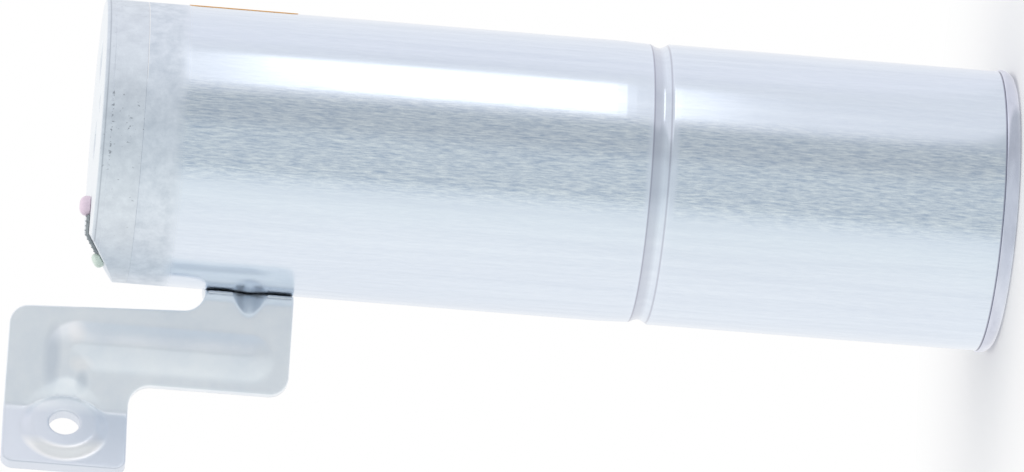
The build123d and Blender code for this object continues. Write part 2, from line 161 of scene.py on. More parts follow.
def settled(piece, sharp=radians(30)):
    """Applies a piece's modifiers, points its faces outwards and smooths it between its sharp edges."""
    graph = bpy.context.evaluated_depsgraph_get()
    graph.update()
    mesh = bpy.data.meshes.new_from_object(piece.evaluated_get(graph))
    piece.modifiers.clear()
    shape = bmesh.new()
    shape.from_mesh(mesh)
    bmesh.ops.recalc_face_normals(shape, faces=shape.faces)
    shape.to_mesh(mesh)
    shape.free()
    mesh.shade_smooth()
    mesh.set_sharp_from_angle(angle=sharp)
    mesh.name = piece.name
    piece.data = mesh
    return piece


def piece_of(name, points=(), edges=(), faces=()):
    """New object whose mesh has these points, in metres."""
    mesh = bpy.data.meshes.new(name)
    mesh.from_pydata(points, edges, faces)
    piece = bpy.data.objects.new(name, mesh)
    bpy.context.scene.collection.objects.link(piece)
    return piece


def ring_of(start, size):
    """Sides of a closed ring of points, numbered from its start."""
    return [(start + i, start + (i + 1) % size) for i in range(size)]


LATHE = lathe_tree()
CORE = 1.0  # radius of the path that a profile is carried round


def turned(name, profile, finish=None, closed=False, steps=192):
    """Piece turned round the Z axis from a profile of (radius, height) points in millimetres."""
    points = [((r - CORE) * MM, -h * MM, 0) for r, h in profile]
    edges = ring_of(0, len(points))
    piece = piece_of(name, points, edges if closed else edges[:-1])
    return grow(piece, LATHE, Steps=steps, Core=CORE * MM, Finish=finish)


def new_material(name):
    """New material and its empty tree."""
    made = bpy.data.materials.new(name)
    made.use_nodes = True
    made.node_tree.nodes.clear()
    return made, made.node_tree


def shaded(made, **inputs):
    """Ends a material with a Principled shader, whose inputs are named with underscores for spaces."""
    named = {name.replace("_", " "): value for name, value in inputs.items()}
    shader = node(made.node_tree, "ShaderNodeBsdfPrincipled", named)
    node(made.node_tree, "ShaderNodeOutputMaterial", {"Surface": shader.outputs["BSDF"]})
    return made


def own_place(tree):
    """The object's own coordinates, as one vector."""
    return node(tree, "ShaderNodeTexCoord").outputs["Object"]


def axes_of(vector):
    """X, Y and Z of a vector."""
    return node(vector.id_data, "ShaderNodeSeparateXYZ", {"Vector": vector}).outputs


def noise(tree, cycles, detail=3.0, roughness=0.55):
    """Noise with this many cycles per millimetre: one number, or one each along X, Y and Z."""
    scale = [c / MM for c in (cycles if isinstance(cycles, tuple) else (cycles,) * 3)]
    scaled = node(tree, "ShaderNodeMapping", {"Vector": own_place(tree), "Scale": scale}).outputs["Vector"]
    inputs = {"Vector": scaled, "Scale": 1.0, "Detail": detail, "Roughness": roughness}
    return node(tree, "ShaderNodeTexNoise", inputs).outputs["Fac"]


def maths(operation, first, second=0.0):
    return node(first.id_data, "ShaderNodeMath", {0: first, 1: second}, operation=operation).outputs[0]


def spread(value, low=0.0, high=1.0, from_low=0.3, from_high=0.7):
    """Value stretched from one range to another."""
    inputs = {"Value": value, "From Min": from_low, "From Max": from_high, "To Min": low, "To Max": high}
    return node(value.id_data, "ShaderNodeMapRange", inputs).outputs["Result"]


def past(value, start, end, low=0.0, high=1.0):
    """Goes from one tone to another as a coordinate passes from start to end, in millimetres."""
    return spread(value, low, high, start * MM, end * MM)


def gap(value, place):
    """Distance of a coordinate from a place in millimetres."""
    return maths("ABSOLUTE", maths("SUBTRACT", value, place * MM))


def around(value, place, inner, outer, near=1.0, far=0.0):
    """Goes from one tone to another between two distances from a place, in millimetres."""
    return past(gap(value, place), inner, outer, near, far)


def between(factor, first, second):
    """Colour between two colours."""
    inputs = {"Factor": factor, 6: first, 7: second}
    return node(factor.id_data, "ShaderNodeMix", inputs, data_type="RGBA").outputs[2]


def clouded(value, dark, light):
    """Colour that wanders between two with a noise."""
    return between(spread(value), dark, light)


def ramp(value, stops, low, high):
    """Colour or grey tone read off along a value; the stops are (value, tone) pairs."""
    found = node(value.id_data, "ShaderNodeValToRGB", {"Fac": spread(value, 0.0, 1.0, low, high)})
    elements = found.color_ramp.elements
    for i, (at, tone) in enumerate(stops):
        position = (at - low) / (high - low)
        element = elements[i] if i < 2 else elements.new(position)
        element.position = position
        element.color = (*tone, 1) if isinstance(tone, tuple) else (tone, tone, tone, 1)
    return found.outputs["Color"]


def relief(height, depth_mm, under=None):
    """Bump of this depth from a 0 to 1 height, over another relief if one is given."""
    inputs = {"Height": height, "Distance": depth_mm * MM}
    if under:
        inputs["Normal"] = under
    return node(height.id_data, "ShaderNodeBump", inputs).outputs["Normal"]


def can_finish():
    """Bright drawn aluminium with lengthwise draw lines and rub marks, dulled by weld heat at one end, with painted
    shade across the bead and a painted highlight along the weld seam.
    """
    made, tree = new_material("can_finish")
    lines = noise(tree, (2.5, 2.5, 0.33), detail=5.0, roughness=0.7)
    streaks = noise(tree, (0.45, 0.45, 0.012))
    blotches = noise(tree, (0.05, 0.05, 0.03))
    mottle = noise(tree, 0.35, detail=6.0, roughness=0.65)
    x, _, z = axes_of(own_place(tree))
    rubbed = around(x, rub_middle, *rub_reach, 1.0, 0.12)
    off_bead = around(z, bead_outer_height, *bead_clear, 0.0, 1.0)
    smooth = clouded(streaks, (0.74, 0.80, 0.89), (0.80, 0.86, 0.94))
    rough = clouded(lines, (0.47, 0.56, 0.69), (0.94, 0.99, 1.0))
    bright = between(maths("MULTIPLY", rubbed, off_bead), smooth, rough)
    # painted shade across the bead, darkest in lines at its edges where its walls turn from the light, and the weld's
    # dark line above the base
    over_bead = maths("SUBTRACT", maths("DIVIDE", z, MM), bead_outer_height)
    bead_shade = ramp(over_bead, bead_shade_tones, -bead_shade_reach, bead_shade_reach)
    bright = between(maths("MULTIPLY", bead_shade, past(z, *base_seam)), (0.40, 0.41, 0.50), bright)
    # dull and mottled near the header, with a painted highlight along the weld seam at the very end, on the strip
    # lamp's side
    heat = past(z, heat_foot, heat_foot + 3)
    dulled = clouded(mottle, (0.69, 0.75, 0.82), (0.88, 0.93, 0.99))
    # painted highlight: the seam is made white only where it faces the strip lamp
    at_weld = maths("GREATER_THAN", z, seam_highlight_foot * MM)
    seam_highlight = maths("MULTIPLY", at_weld, past(x, *seam_highlight_side, 0.0, 0.8))
    seam_highlighted = between(seam_highlight, dulled, (1.0, 1.0, 1.0))
    return shaded(
        made,
        Metallic=1.0,
        Base_Color=between(heat, bright, seam_highlighted),
        Roughness=maths("ADD", spread(blotches, 0.13, 0.2), maths("MULTIPLY", heat, 0.36)),
        Normal=relief(maths("MULTIPLY", streaks, off_bead), 0.006),
    )


bead_low = bead_outer_height - bead_width / 2
bead_high = bead_outer_height + bead_width / 2
bore = can_radius - can_wall
# from the wall to the centre of the ridge's arc
ridge_run = (bead_ridge_half**2 - bead_depth**2) / (2 * bead_depth)
ridge_radius = ridge_run + bead_depth
ridge = [
    (bore + ridge_run - ridge_radius * cos(turn), bead_height + ridge_radius * sin(turn))
    for turn in np.linspace(1, -1, 17) * atan2(bead_ridge_half, ridge_run)
]
can_outline = [
    (bore, can_low.z),
    (can_radius - seam_chamfer, can_low.z),
    (can_radius, can_low.z + seam_chamfer),
    (can_radius, bead_low),
    (can_radius - 1.3 * bead_depth, bead_outer_height),
    (can_radius - bead_shoulder_drop, bead_high),
    (can_radius, bead_high + bead_shoulder_length),
    (can_radius, can_high.z - seam_chamfer),
    (can_radius - seam_chamfer, can_high.z),
    (bore, can_high.z),
]
can_profile = held(rounded(can_outline, [0, 0.05, 0.05, 0.3, 2.2, 0.5, 100, 0.05, 0.05, 0]))
can = turned("can_tube", can_profile + ridge, can_finish(), closed=True, steps=256)
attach(can, "drier")
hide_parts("can")

# ================================================================ base cap
# Pressed aluminium cup that closes the can's lower end.  Its rolled rim stands a little proud of the
# can, with a weld line above it, and its spigot fits inside the can's wall.

cap_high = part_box("base_cap")[1] / MM
cap_rim_radius = cap_high.x
cap_rim_round = 2.5
cap_wall = 2.4
cap_floor = 3.0
cap_spigot_radius = bore - 0.03


def plain(name, dark, light, patches, marks, roughness, depth, **constants):
    """Finish in soft patches of two tones, with fine marks that change its roughness and stand in relief.
    Patches and marks are (cycles, detail) of their noise."""
    made, tree = new_material(name)
    marks = noise(tree, *marks)
    return shaded(
        made,
        Base_Color=clouded(noise(tree, *patches), dark, light),
        Roughness=spread(marks, *roughness),
        Normal=relief(marks, depth),
        **constants,
    )


cap_outline = [
    (0, 0),
    (cap_rim_radius, 0),
    (cap_rim_radius, can_low.z - 0.03),
    (cap_spigot_radius, can_low.z - 0.03),
    (cap_spigot_radius, cap_high.z),
    (cap_spigot_radius - cap_wall, cap_high.z),
    (cap_spigot_radius - cap_wall, cap_floor),
    (0, cap_floor),
]
cap_profile = held(rounded(cap_outline, [0, cap_rim_round, 0.25, 0, 0.2, 0.2, cap_wall / 2, 0]))
cap_tones = ((0.63, 0.65, 0.75), (0.78, 0.80, 0.90))
cap_patches, cap_marks = ((0.12, 0.12, 0.3), 4.0), ((0.9, 0.9, 2.5), 3.0)
cap_metal = plain("cap_finish", *cap_tones, cap_patches, cap_marks, (0.14, 0.28), 0.01, Metallic=1.0)
base_cap = turned("base_cup", cap_profile, cap_metal, steps=256)
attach(base_cap, "drier")
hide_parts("base_cap")

# ================================================================ pickup tube, seal and strainer
# The tube carries liquid from the bottom of the can up to the outlet.  It is drawn aluminium, with an
# O-ring of green rubber at its top and a moulded nylon cage with a woven screen at its foot.


def dress(name, finish):
    """Gives a CAD node its finish."""
    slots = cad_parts[name].data.materials
    slots.clear()
    slots.append(finish)


def plain_metal(name, light, dark, roughness):
    """Bare or plated metal with soft patches and fine marks."""
    roughness = (roughness * 0.75, roughness * 1.3)
    return plain(name, dark, light, (0.2, 4.0), ((1.5, 1.5, 0.4), 2.0), roughness, 0.004, Metallic=1.0)


def moulded(name, light, dark, roughness, grain=1.2, depth=0.01):
    """Moulded plastic or rubber with a fine grain."""
    return plain(name, dark, light, (0.3, 3.0), (grain, 2.0), (roughness * 0.8, roughness * 1.2), depth)


def screen_finish():
    """Nylon screen: fine threads crossing, as two bands of waves."""
    made, tree = new_material("screen_finish")
    wave = {"Vector": own_place(tree), "Scale": 0.6 / MM, "Distortion": 0.0}
    ways = ("Z", "DIAGONAL")
    woven = maths("MAXIMUM", *(node(tree, "ShaderNodeTexWave", wave, bands_direction=w).outputs["Fac"] for w in ways))
    colour = between(woven, (0.36, 0.36, 0.33), (0.82, 0.81, 0.76))
    return shaded(made, Base_Color=colour, Roughness=0.6, Normal=relief(woven, 0.08))


dress("pickup_tube", plain_metal("tube_finish", (0.80, 0.82, 0.86), (0.70, 0.72, 0.77), 0.22))
dress("tube_seal_ring", moulded("seal_rubber", (0.06, 0.24, 0.10), (0.03, 0.15, 0.06), 0.45))
dress("strainer_frame", moulded("strainer_nylon", (0.90, 0.89, 0.84), (0.82, 0.80, 0.73), 0.5))
dress("strainer_mesh", screen_finish())

# ================================================================ drying pack and its spring
# Two perforated steel plates, zinc-plated, hold felt pads and a bed of molecular-sieve beads between
# them.  The pack stands on the can's inner ridge, and a coil spring under the header presses it down.


def felt_finish():
    """Needled felt: short fibres lying every way."""
    made, tree = new_material("felt_finish")
    fibres = noise(tree, (2.0, 2.0, 0.5), detail=5.0, roughness=0.7)
    colour = clouded(fibres, (0.70, 0.67, 0.60), (0.90, 0.88, 0.82))
    return shaded(made, Base_Color=colour, Roughness=0.95, Sheen_Weight=0.3, Normal=relief(fibres, 0.2))


def bead_finish():
    """Bed of round beads, about 2 mm across, each a little lighter or darker than the next, with painted shade in the
    gaps between them.
    """
    made, tree = new_material("bead_finish")
    beads = node(tree, "ShaderNodeTexVoronoi", {"Vector": own_place(tree), "Scale": 0.5 / MM}).outputs
    tone = node(tree, "ShaderNodeSeparateColor", {"Color": beads["Color"]}).outputs["Red"]
    tops_and_gap_shade = spread(beads["Distance"], 1.0, 0.0, 0.0, 0.6)
    bead_tone = between(tone, (0.70, 0.58, 0.42), (0.84, 0.74, 0.58))
    # painted shade in the gaps between the beads
    colour = between(tops_and_gap_shade, (0.22, 0.17, 0.12), bead_tone)
    return shaded(made, Base_Color=colour, Roughness=0.85, Normal=relief(tops_and_gap_shade, 0.8))


zinc = plain_metal("zinc_finish", (0.74, 0.75, 0.76), (0.58, 0.60, 0.62), 0.32)
felt = felt_finish()
dress("lower_plate", zinc)
dress("upper_plate", zinc)
dress("lower_filter_pad", felt)
dress("upper_filter_pad", felt)
dress("desiccant_bed", bead_finish())
dress("pack_spring", plain_metal("spring_finish", (0.56, 0.56, 0.57), (0.40, 0.40, 0.42), 0.28))

# ================================================================ header
# Turned aluminium block that closes the can's upper end and takes the two pipes.  Its face has the
# outlet on the axis, the inlet beside it and a tapped hole for the pipe block's screw, and a facet is
# milled across the corner on the ear's side.  Heat from the weld has left it slightly mottled.

header_low, header_high = (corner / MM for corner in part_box("header"))
face = header_high.z
band_foot = can_high.z
spigot_foot = band_foot - 8.0
spring_boss_radius = 8.8
header_corner = 0.8
lip_line = 2.1
lip_line_width = 0.3
lip_line_depth = 0.07
facet_inner = 20.05
facet_drop = 6.13
port_radius = 4.5
port_depth = 10.0
passage_radius = 3.0
port_chamfer = 0.5
inlet_x = 17.0
screw_radius = 2.55
screw_place = (8.5, -13.0)
screw_depth = 12.0
plug_line_y = -6.0
service_x = -14.25
service_hole = (1.5, 7.0)
relief_x = -25.15
relief_hole = (0.9, 4.6)
tube_socket_radius = 4.03
tube_shoulder = 1.5
seal_groove_radius = 5.63
seal_groove_half = 0.8
seal_groove_height = header_low.z + 3.0
edge_break = 0.1
soot_middle, soot_reach = 3, (5, 12)  # X of the soot on the front, and how far from it the soot fades
bore_middle, bore_reach_x, bore_reach_y = 7, 16, 16.5  # field of the face that the bores lie in, where their painted shade goes

facet_tilt = atan2(facet_drop, can_radius - facet_inner)
facet_normal = Vector((-sin(facet_tilt), 0, cos(facet_tilt)))


def on_facet(x):
    """Point of the facet above the plugs' line, in millimetres."""
    return Vector((x, plug_line_y, face + (x + facet_inner) * tan(facet_tilt)))


def placed(piece, spot, axis=(0, 0, 1)):
    """Moves a piece's mesh from the origin to a spot in millimetres, with its Z axis along another."""
    turn = Vector(axis).to_track_quat("Z", "Y").to_matrix().to_4x4()
    piece.data.transform(Matrix.Translation(Vector(spot) * MM) @ turn)
    return piece


def drill(radius, depth, mouth=0.0):
    """Round cutter that enters downwards from the origin, with a chamfer at its mouth."""
    profile = [(0, -depth), (radius, -depth), (radius, -mouth), (radius + 2 * mouth, mouth)]
    profile += [(radius + 2 * mouth, 2 * mouth + 1), (0, 2 * mouth + 1)]
    return turned("cutter", profile, steps=96)


def cut(piece, cutters):
    """Takes cutters away from a piece and breaks its edges."""
    for cutter in cutters:
        tool = piece.modifiers.new("cut", "BOOLEAN")
        tool.operation = "DIFFERENCE"
        tool.solver = "EXACT"
        tool.object = cutter
    settled(piece)
    for cutter in cutters:
        bpy.data.objects.remove(cutter)
    bevel = piece.modifiers.new("edge_break", "BEVEL")
    bevel.limit_method = "ANGLE"
    bevel.angle_limit = radians(25)
    bevel.width = edge_break * MM
    bevel.segments = 2
    return settled(piece)


def header_finish():
    """Machined aluminium, mottled by heat, with turning marks on its face and specks of weld soot, and painted shade
    below the face's rounded edge and inside the bores.
    """
    made, tree = new_material("header_finish")
    mottle = noise(tree, 0.35, detail=6.0, roughness=0.65)
    scales = noise(tree, (0.9, 0.9, 1.3), detail=4.0, roughness=0.6)
    specks = noise(tree, (1.4, 1.4, 1.0))
    x, y, z = axes_of(own_place(tree))
    flat = node(tree, "ShaderNodeMapping", {"Vector": own_place(tree), "Scale": (1, 1, 0)}).outputs["Vector"]
    wave = {"Vector": flat, "Scale": 1.1 / MM, "Distortion": 0.4, "Detail": 1.0}
    rings = node(tree, "ShaderNodeTexWave", wave, wave_type="RINGS", rings_direction="Z").outputs["Fac"]
    colour = clouded(mottle, (0.71, 0.76, 0.82), (0.87, 0.92, 0.97))
    # dark specks of weld soot on the front, thicker along the lip line
    on_front = around(x, soot_middle, *soot_reach, 0.06)
    on_lip = maths("MULTIPLY", around(z, face - lip_line - 0.2, 0.1, 0.4, 2.2), on_front)
    soot = maths("ADD", specks, maths("ADD", on_front, on_lip))
    specked = between(spread(soot, 0.0, 0.75, 0.70, 0.78), colour, (0.30, 0.33, 0.37))
    # bright turned face, with painted shade in a line round the foot of its rounded edge
    rim_shade = around(z, face - header_corner - 0.1, 0.08, 0.2, 0.55)
    rim_shaded = between(rim_shade, specked, (0.45, 0.49, 0.55))
    edged = between(past(z, face - 0.3, face - 0.1), rim_shaded, (0.95, 0.98, 1.0))
    # painted shade inside the bores
    deep = past(z, face - 0.9, face - 0.4, 1.0, 0.0)
    in_x = maths("LESS_THAN", gap(x, bore_middle), bore_reach_x * MM)
    in_y = maths("LESS_THAN", maths("ABSOLUTE", y), bore_reach_y * MM)
    bore_shade = maths("MULTIPLY", deep, maths("MULTIPLY", in_x, in_y))
    return shaded(
        made,
        Metallic=1.0,
        Base_Color=between(bore_shade, edged, (0.62, 0.66, 0.72)),
        Roughness=spread(mottle, 0.46, 0.58),
        Normal=relief(scales, 0.035, relief(rings, 0.003)),
    )


header_outline = [
    (0, face),
    (can_radius, face),
    (can_radius, face - lip_line + lip_line_width / 2),
    (can_radius - lip_line_depth, face - lip_line),
    (can_radius, face - lip_line - lip_line_width / 2),
    (can_radius, band_foot + seam_chamfer),
    (can_radius - seam_chamfer, band_foot),
    (cap_spigot_radius, band_foot),
    (cap_spigot_radius, spigot_foot),
    (spring_boss_radius, spigot_foot),
    (spring_boss_radius, header_low.z),
    (0, header_low.z),
]
header_profile = held(rounded(header_outline, [0, header_corner, 0, 0, 0, 0.1, 0.1, 0, 0.8, 0, 0.3, 0]))
header = turned("header_block", header_profile, header_finish(), steps=256)
facet_block = [(0, 0), (2 * can_radius, 0), (2 * can_radius, can_radius), (0, can_radius)]
facet_cutter = placed(turned("cutter", facet_block, steps=64), (-facet_inner, 0, face), facet_normal)
socket_top = face - port_depth - tube_shoulder
socket_profile = [
    (0, header_low.z - 1),
    (tube_socket_radius, header_low.z - 1),
    (tube_socket_radius, seal_groove_height - seal_groove_half),
    (seal_groove_radius, seal_groove_height - seal_groove_half),
    (seal_groove_radius, seal_groove_height + seal_groove_half),
    (tube_socket_radius, seal_groove_height + seal_groove_half),
    (tube_socket_radius, socket_top),
    (passage_radius, socket_top),
    (passage_radius, face - port_depth / 2),
    (0, face - port_depth / 2),
]
cut(
    header,
    [
        facet_cutter,
        placed(drill(port_radius, port_depth, port_chamfer), (0, 0, face)),
        placed(drill(port_radius, port_depth, port_chamfer), (inlet_x, 0, face)),
        placed(drill(passage_radius, face - header_low.z + 1), (inlet_x, 0, face - port_depth / 2)),
        turned("cutter", socket_profile, steps=96),
        placed(drill(screw_radius, screw_depth, port_chamfer), (*screw_place, face)),
        placed(drill(*service_hole), (service_x, plug_line_y, face)),
        placed(drill(*relief_hole), on_facet(relief_x), facet_normal),
    ],
)
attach(header, "drier")
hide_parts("header")

# ================================================================ plugs and pull tab
# Small moulded plugs close the service hole and the relief hole for transport.  The service plug has a
# ribbed rubber tab, folded down over the facet, that it is pulled out by.

head_gap = 0.1
plug_clearance = 0.08
service_plug_length = 5.0
service_head = (2.15, 2.3)
relief_plug_length = 3.5
relief_head = (1.6, 1.9)
tab_low, tab_high = (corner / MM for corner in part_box("plug_pull_tab"))
tab_thickness = 1.0
tab_ribs = 9
tab_rib_radius = 0.17
tab_tuck, tab_rib_inset = 0.3, 0.4  # how far its start runs under the plug's head, and its ribs stop short


def plug(name, head, hole, length, rounding, finish):
    """Round plug: domed head with a small dimple, and a stem that fits its hole."""
    head_radius, head_height = head
    stem = hole[0] - plug_clearance
    profile = rounded(
        [
            (0, -length + head_gap),
            (stem, -length + head_gap),
            (stem, head_gap),
            (head_radius, head_gap),
            (head_radius, head_height),
            (head_radius * 0.3, head_height),
            (head_radius * 0.2, head_height - 0.15),
            (0, head_height - 0.15),
        ],
        [0, 0.3, 0.05, 0.15, rounding, 0.1, 0.1, 0],
    )
    return turned(name, held(profile, 0.1), finish, steps=64)


def tab_tree():
    """Lays rounded ribs across a path and joins them to the strip that they strengthen."""
    sockets = {"Path": "Geometry", "Strip": "Object", "Ribs": "Int", "Radius": "Float", "Length": "Float"}
    tree, given = new_tree("tab_ribs", **sockets, Finish="Material")
    path = node(tree, "GeometryNodeMeshToCurve", {"Mesh": given["Path"]}).outputs["Curve"]
    spots = node(tree, "GeometryNodeCurveToPoints", {"Curve": path, "Count": given["Ribs"]}, mode="COUNT")
    sizes = {"Vertices": 12, "Radius": given["Radius"], "Depth": given["Length"]}
    rib = node(tree, "GeometryNodeMeshCylinder", sizes).outputs["Mesh"]
    across = node(tree, "FunctionNodeAlignRotationToVector", {"Vector": (0, 1, 0)}, axis="Z").outputs[0]
    laying = {"Points": spots.outputs["Points"], "Instance": rib, "Rotation": across}
    laid = node(tree, "GeometryNodeInstanceOnPoints", laying).outputs["Instances"]
    strip = node(tree, "GeometryNodeObjectInfo", {"Object": given["Strip"]}).outputs["Geometry"]
    joined = node(tree, "GeometryNodeJoinGeometry", {"Geometry": laid})
    tree.links.new(strip, joined.inputs["Geometry"])
    return ended(tree, joined.outputs["Geometry"], given["Finish"])


def over_plugs(x, z):
    """Place in metres on the plane that both plugs' middles lie in."""
    return Vector((x * MM, plug_line_y * MM, z * MM))


service_plastic = moulded("service_plastic", (0.86, 0.72, 0.82), (0.74, 0.60, 0.72), 0.3)
service_plug = placed(
    plug("service_cap", service_head, service_hole, service_plug_length, 1.5, service_plastic),
    (service_x, plug_line_y, face),
)
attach(service_plug, "service_plug")
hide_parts("service_plug")

relief_plastic = moulded("relief_plastic", (0.76, 0.86, 0.78), (0.62, 0.74, 0.66), 0.3)
relief_plug = placed(
    plug("relief_cap", relief_head, relief_hole, relief_plug_length, 1.0, relief_plastic),
    on_facet(relief_x),
    facet_normal,
)
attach(relief_plug, "relief_plug")
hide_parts("relief_plug")

# the strip's path, in the XZ plane: along the face, then down the facet
strip_thickness = 0.7 * tab_thickness - tab_rib_radius
fold_x = -facet_inner - head_gap * tan(facet_tilt / 2)
tab_start = Vector((service_x - service_head[0] + tab_tuck, face + head_gap))
tab_fold = Vector((fold_x, face + head_gap))
tab_end = Vector((tab_low.x, tab_fold.y + (tab_low.x - fold_x) * tan(facet_tilt)))
fold_lift = Vector((-tan(facet_tilt / 2), 1)) * strip_thickness
tab_outline = [
    tab_start,
    tab_fold,
    tab_end,
    tab_end + Vector((facet_normal.x, facet_normal.z)) * strip_thickness,
    tab_fold + fold_lift,
    tab_start + Vector((0, strip_thickness)),
]
tab_section = rounded(tab_outline, [0.1, 0.3, 0.2, 0.3, 0.9, 0.3], closed=True)
tab_width = tab_high.y - tab_low.y
strip_points = [
    (x * MM, (plug_line_y + side * tab_width / 2) * MM, z * MM) for side in (-1, 1) for x, z in tab_section
]
ring = len(tab_section)
strip_faces = [(a, b, ring + b, ring + a) for a, b in ring_of(0, ring)]
strip_faces += [tuple(range(ring)), tuple(range(2 * ring - 1, ring - 1, -1))]
strip = settled(piece_of("strip", strip_points, faces=strip_faces))
rib_line = rounded(tab_outline[:2:-1], [0, 0.9, 0])
rib_path = [over_plugs(x, z) for x, z in rib_line[1:-1]]
rib_start = Vector(((tab_start.x - 0.4) * MM, plug_line_y * MM, rib_path[0].z))
rib_end = rib_path[-1].lerp(over_plugs(*tab_outline[3]), 0.85)
rib_path = [rib_start, *rib_path, rib_end]
pull_tab = piece_of("pull_tab", rib_path, ring_of(0, len(rib_path))[:-1])
tab_rubber = moulded("tab_rubber", (0.55, 0.60, 0.62), (0.06, 0.08, 0.09), 0.42, grain=1.3, depth=0.03)
rib_sizes = {"Ribs": tab_ribs, "Radius": tab_rib_radius * MM, "Length": (tab_width - tab_rib_inset) * MM}
grow(pull_tab, tab_tree(), Strip=strip, **rib_sizes, Finish=tab_rubber)
bpy.data.objects.remove(strip)
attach(pull_tab, "service_plug")
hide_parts("plug_pull_tab")

# ================================================================ bracket
# Mounting ear sheared and pressed from 2.5 mm aluminium sheet: a saddle welded round the can, a bend
# with a pressed dart, an arm stiffened by an L-shaped rib, and a turned pad with a round seat and a
# hole for the screw.  It is drawn here as the press makes it: a flat blank, then bent and formed.

ear_low, ear_high = (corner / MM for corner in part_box("bracket"))
sheet = 2.5
saddle_radius = can_radius + 0.04
saddle_start, saddle_wrap = 182.0, 102.0
bend_radius, bend_round = 5.5, 3.2  # of the bend as it is set out, and as it is drawn
arm_tilt = 12.9
crease_x, crease_turn, crease_radius = -57.5, 30.1, 2.5
pad_reach = 68.9
neck_top = ear_low.z + 18.9
pad_bottom = ear_high.z - 26.25
arm_outer_x, arm_inner_top, arm_inner_root = -51.2, -36.2, -34.5
arm_corner, pad_fillet, pad_corner, neck_fillet, saddle_corner = 4.0, 4.6, 2.6, 4.4, 0.6
hole_radius, hole_below_top, hole_from_crease = 3.25, 12.95, 4.8
seat_radius, seat_top_radius, seat_rise, seat_back_radius = 9.45, 6.6, 1.3, 5.6
seat_blend, seat_soft = 0.8, 0.3
seat_highlight_side = (4.0, 2.0)  # to the left of its middle, where a highlight is painted on the seat's flank
rib_width, rib_rise, rib_back_width, rib_back_depth = 10.4, 1.5, 6.4, 1.2
rib_line_x, rib_end_above_arm, rib_turn, rib_leg = -43.7, 3.5, 2.0, 11.0
rib_crest, rib_belly, rib_soft, rib_back_soft = 0.12, 0.45, 0.15, 0.3
dart_depth, dart_half, dart_wall, dart_reach, dart_soft = 1.6, 5.0, 2.2, 8.0, 0.5
shear_round = 0.32
sheet_pitch = 0.45

# the bent line of the sheet seen from above: its heading at each knot, and its points between them
headings = [saddle_start + 90] * 2 + [180 + arm_tilt] * 2 + [180 + arm_tilt + crease_turn] * 2
heading_knots = np.radians([saddle_start - saddle_wrap + 90] + headings)
saddle_length = saddle_radius * radians(saddle_wrap)
bend_angle = radians(saddle_start - 90 - arm_tilt)
bend_tuck = (bend_radius - bend_round) * tan(bend_angle / 2)
bend_mouth = saddle_radius * Vector((cos(radians(saddle_start)), sin(radians(saddle_start))))
bend_side = Vector((sin(heading_knots[1]), -cos(heading_knots[1])))
bend_centre = bend_mouth + bend_side * bend_radius
arm_normal = Vector((sin(radians(arm_tilt)), -cos(radians(arm_tilt))))
arm_start = bend_centre + arm_normal * bend_radius
arm_direction = Vector((cos(heading_knots[3]), sin(heading_knots[3])))
pad_direction = Vector((cos(heading_knots[5]), sin(heading_knots[5])))
pad_normal = Vector((-pad_direction.y, pad_direction.x))
crease_setback = crease_radius * tan(radians(crease_turn / 2))
arm_run = (crease_x - arm_start.x) / arm_direction.x - crease_setback
pad_run = (-pad_reach - crease_x) / pad_direction.x - crease_setback
runs = [saddle_length, bend_tuck, bend_round * bend_angle, bend_tuck + arm_run]
runs += [crease_radius * radians(crease_turn), pad_run]
knots = np.concatenate([[0], np.cumsum(runs)])
line_s = np.linspace(0, knots[-1], 12001)
line_heading = np.interp(line_s, knots, heading_knots)
line_step = line_s[1] - line_s[0]
first_angle = radians(saddle_start - saddle_wrap)
middle_heading = (line_heading[1:] + line_heading[:-1]) / 2
line_x, line_y = (
    saddle_radius * way(first_angle) + np.concatenate([[0], np.cumsum(way(middle_heading))]) * line_step
    for way in (np.cos, np.sin)
)


def along(x):
    """Length along the bent line to where the arm or the pad passes this x."""
    on_arm = line_s > knots[3]
    return float(np.interp(-x, -line_x[on_arm], line_s[on_arm]))


def distance_to(points, line):
    """Distance from each point to a broken line."""
    nearest = np.full(len(points), np.inf)
    for a, b in zip(np.array(line[:-1]), np.array(line[1:])):
        run = b - a
        share = np.clip((points - a) @ run / max(run @ run, 1e-12), 0, 1)
        nearest = np.minimum(nearest, np.hypot(*(points - a - share[:, None] * run).T))
    return nearest


def inside(points, loop):
    """Which points lie inside a closed outline."""
    found = np.zeros(len(points), bool)
    for (ax, ay), (bx, by) in zip(loop, loop[1:] + loop[:1]):
        if ay != by:
            crosses = (ay > points[:, 1]) != (by > points[:, 1])
            found ^= crosses & (points[:, 0] < (bx - ax) * (points[:, 1] - ay) / (by - ay) + ax)
    return found


def inset(loop, amount):
    """Closed outline moved to its left by an amount."""
    loop = np.array(loop)
    run = np.roll(loop, -1, 0) - np.roll(loop, 1, 0)
    left = np.stack([-run[:, 1], run[:, 0]], 1) / np.hypot(*run.T)[:, None]
    return [tuple(p) for p in loop + left * amount]


def divided(loop, pitch):
    """Closed outline with no side longer than the pitch."""
    out = []
    for a, b in zip(loop, loop[1:] + loop[:1]):
        parts = max(1, round(hypot(b[0] - a[0], b[1] - a[1]) / pitch))
        x, y = b[0] - a[0], b[1] - a[1]
        out += [(a[0] + x * k / parts, a[1] + y * k / parts) for k in range(parts)]
    return out


